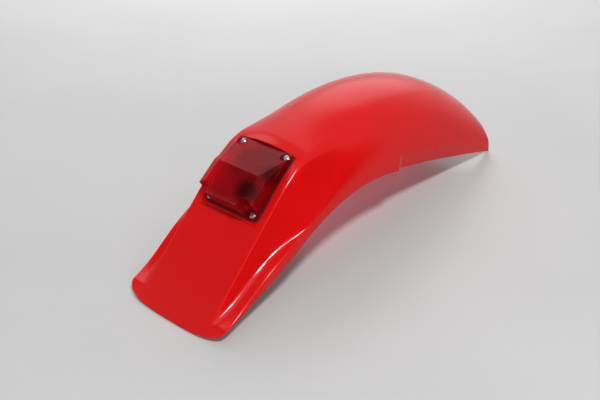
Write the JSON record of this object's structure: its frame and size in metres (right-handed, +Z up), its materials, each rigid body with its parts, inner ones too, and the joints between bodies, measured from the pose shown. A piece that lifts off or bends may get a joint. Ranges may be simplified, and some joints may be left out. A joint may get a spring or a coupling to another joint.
{
  "type": "motorcycle rear fender",
  "caption": "Long moulded rear fender: a flat flared tail flap with turned-down skirts, a half-round arch over the wheel, and a box-shaped tail lamp screwed into a shallow seat.",
  "frame": {"origin": "middle of the length and width, on the surface the fender stands on", "axes": "+X along the fender from the tail tip towards the front end, +Y across, +Z up as it stands on its tail tip and two front corners"},
  "size_m": [0.634, 0.1796, 0.1894],
  "materials": {
    "red_plastic": "gloss moulded red",
    "rubber": "matt black",
    "plate_steel": "zinc plated sheet",
    "brass": "plain",
    "bulb_glass": "clear",
    "lens_red": "see-through dark red",
    "screw_steel": "bright zinc"
  },
  "bodies": {
    "root": {"fender_shell": "red_plastic", "lamp_gasket": "rubber", "lamp_plate": "plate_steel", "bulb_holder": "plate_steel", "bulb_contact": "brass", "bulb_cap": "brass", "bulb_glass": "bulb_glass", "lamp_lens": "lens_red", "lens_screw_1": "screw_steel", "lens_screw_2": "screw_steel", "lens_screw_3": "screw_steel", "lens_screw_4": "screw_steel", "washer_1": "screw_steel", "washer_2": "screw_steel", "washer_3": "screw_steel", "washer_4": "screw_steel", "nut_1": "screw_steel", "nut_2": "screw_steel", "nut_3": "screw_steel", "nut_4": "screw_steel"}
  },
  "joints": []
}
